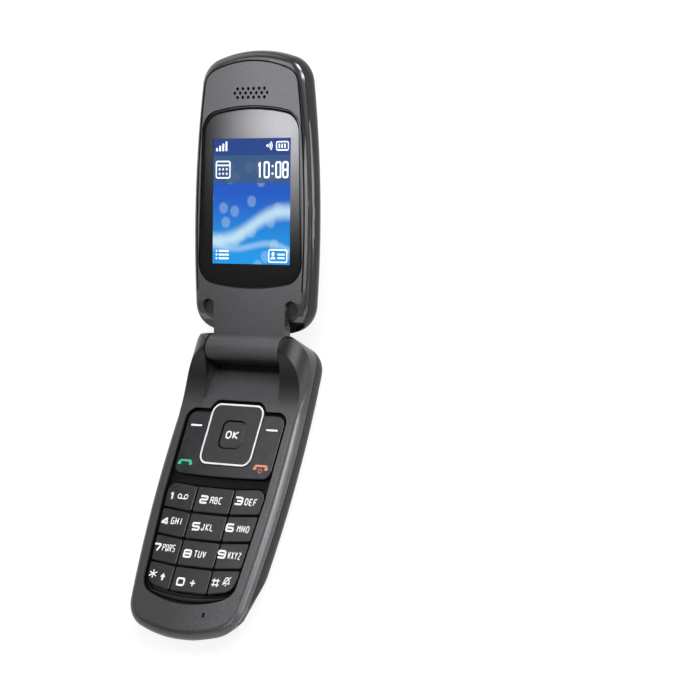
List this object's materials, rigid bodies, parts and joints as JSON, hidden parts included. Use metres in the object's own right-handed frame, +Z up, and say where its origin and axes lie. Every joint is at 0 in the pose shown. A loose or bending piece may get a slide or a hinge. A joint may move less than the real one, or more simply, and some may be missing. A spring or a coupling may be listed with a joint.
{
  "type": "flip phone",
  "caption": "Clamshell mobile phone, opened: keypad base with navigation and number keys, hinged lid with screen and earpiece, sliding battery cover and strap eyelet.",
  "frame": {"origin": "on the resting plane, under the middle of the hinge axis", "axes": "+X to the right of someone reading the keys, +Y from the keys towards the opened lid, +Z up out of the keys"},
  "size_m": [0.0448, 0.1612, 0.0441],
  "materials": {
    "case_charcoal": "fine matte grain",
    "battery_cover": "fine raised grid fading to smooth sides",
    "lid_panel": "matte grey",
    "lid_rim": "satin dark grey",
    "lid_black": "gloss black",
    "keys": "satin dark grey with printed legends",
    "ring": "bright plated",
    "window": "clear, printed black at the back",
    "display": "lit picture",
    "light_guide": "milky",
    "rubber": "matte",
    "board": "green solder mask",
    "steel": "bright",
    "moulded": "plain",
    "flex": "amber film",
    "battery": "wrapped cell",
    "sim_card": "white"
  },
  "bodies": {
    "base": {"front_case": "case_charcoal", "rear_case": "case_charcoal", "case_screws": "steel", "main_board": "board", "key_domes": "steel", "keymat": "rubber", "flex_connector": "moulded", "microphone": "steel", "mic_boot": "rubber", "hall_sensor": "moulded", "charge_socket": "steel", "battery": "battery", "battery_contacts": "moulded", "sim_holder": "steel", "sim_card": "sim_card", "vibrator_motor": "steel", "rf_shield": "steel", "antenna": "moulded", "hinge_shaft": "steel", "hinge_pin": "steel"},
    "lid": {"lid_inner_case": "lid_panel", "lid_frame": "lid_rim", "lid_outer_cover": "lid_black", "screen_window": "window", "lcd_panel": "display", "backlight": "light_guide", "lid_board": "board", "earpiece_gasket": "rubber", "earpiece": "steel", "lid_magnet": "steel", "lid_screws": "steel", "screw_caps": "rubber", "hinge_cartridge": "steel", "hinge_flex": "flex"},
    "cover": {"battery_cover": "battery_cover"},
    "function": {"function_plate": "keys"},
    "nav": {"nav_key": "keys", "nav_ring": "ring"},
    "ok": {"ok_key": "keys"},
    "weight": {"vibrator_weight": "steel"},
    "number_1": {"key_1": "keys"},
    "number_2": {"key_2": "keys"},
    "number_3": {"key_3": "keys"},
    "number_4": {"key_4": "keys"},
    "number_5": {"key_5": "keys"},
    "number_6": {"key_6": "keys"},
    "number_7": {"key_7": "keys"},
    "number_8": {"key_8": "keys"},
    "number_9": {"key_9": "keys"},
    "number_star": {"key_star": "keys"},
    "number_0": {"key_0": "keys"},
    "number_hash": {"key_hash": "keys"}
  },
  "joints": [
    {"name": "lid_hinge", "type": "hinge", "parent": "base", "child": "lid", "pos_m": [0, 0, 0.0106], "axis": [1, 0, 0], "range_deg": [0, 156.3]},
    {"name": "battery_cover_slide", "type": "slide", "parent": "base", "child": "cover", "axis": [0, -1, 0], "range_m": [0, 0.004]},
    {"name": "function_press", "type": "slide", "parent": "base", "child": "function", "axis": [0, 0, -1], "range_m": [0, 0.0003], "stiffness_N_per_m": 600},
    {"name": "nav_rock", "type": "hinge", "parent": "base", "child": "nav", "pos_m": [0, -0.0246, 0.007], "axis": [1, 0, 0], "range_deg": [-2, 2], "stiffness_Nm_per_rad": 0.08},
    {"name": "ok_press", "type": "slide", "parent": "base", "child": "ok", "axis": [0, 0, -1], "range_m": [0, 0.0003], "stiffness_N_per_m": 600},
    {"name": "weight_spin", "type": "hinge", "parent": "base", "child": "weight", "pos_m": [0.017, -0.0172, 0.00315], "axis": [0, 1, 0], "continuous": true},
    {"name": "number_1_press", "type": "slide", "parent": "base", "child": "number_1", "axis": [0, 0, -1], "range_m": [0, 0.0003], "stiffness_N_per_m": 600},
    {"name": "number_2_press", "type": "slide", "parent": "base", "child": "number_2", "axis": [0, 0, -1], "range_m": [0, 0.0003], "stiffness_N_per_m": 600},
    {"name": "number_3_press", "type": "slide", "parent": "base", "child": "number_3", "axis": [0, 0, -1], "range_m": [0, 0.0003], "stiffness_N_per_m": 600},
    {"name": "number_4_press", "type": "slide", "parent": "base", "child": "number_4", "axis": [0, 0, -1], "range_m": [0, 0.0003], "stiffness_N_per_m": 600},
    {"name": "number_5_press", "type": "slide", "parent": "base", "child": "number_5", "axis": [0, 0, -1], "range_m": [0, 0.0003], "stiffness_N_per_m": 600},
    {"name": "number_6_press", "type": "slide", "parent": "base", "child": "number_6", "axis": [0, 0, -1], "range_m": [0, 0.0003], "stiffness_N_per_m": 600},
    {"name": "number_7_press", "type": "slide", "parent": "base", "child": "number_7", "axis": [0, 0, -1], "range_m": [0, 0.0003], "stiffness_N_per_m": 600},
    {"name": "number_8_press", "type": "slide", "parent": "base", "child": "number_8", "axis": [0, 0, -1], "range_m": [0, 0.0003], "stiffness_N_per_m": 600},
    {"name": "number_9_press", "type": "slide", "parent": "base", "child": "number_9", "axis": [0, 0, -1], "range_m": [0, 0.0003], "stiffness_N_per_m": 600},
    {"name": "number_star_press", "type": "slide", "parent": "base", "child": "number_star", "axis": [0, 0, -1], "range_m": [0, 0.0003], "stiffness_N_per_m": 600},
    {"name": "number_0_press", "type": "slide", "parent": "base", "child": "number_0", "axis": [0, 0, -1], "range_m": [0, 0.0003], "stiffness_N_per_m": 600},
    {"name": "number_hash_press", "type": "slide", "parent": "base", "child": "number_hash", "axis": [0, 0, -1], "range_m": [0, 0.0003], "stiffness_N_per_m": 600}
  ]
}
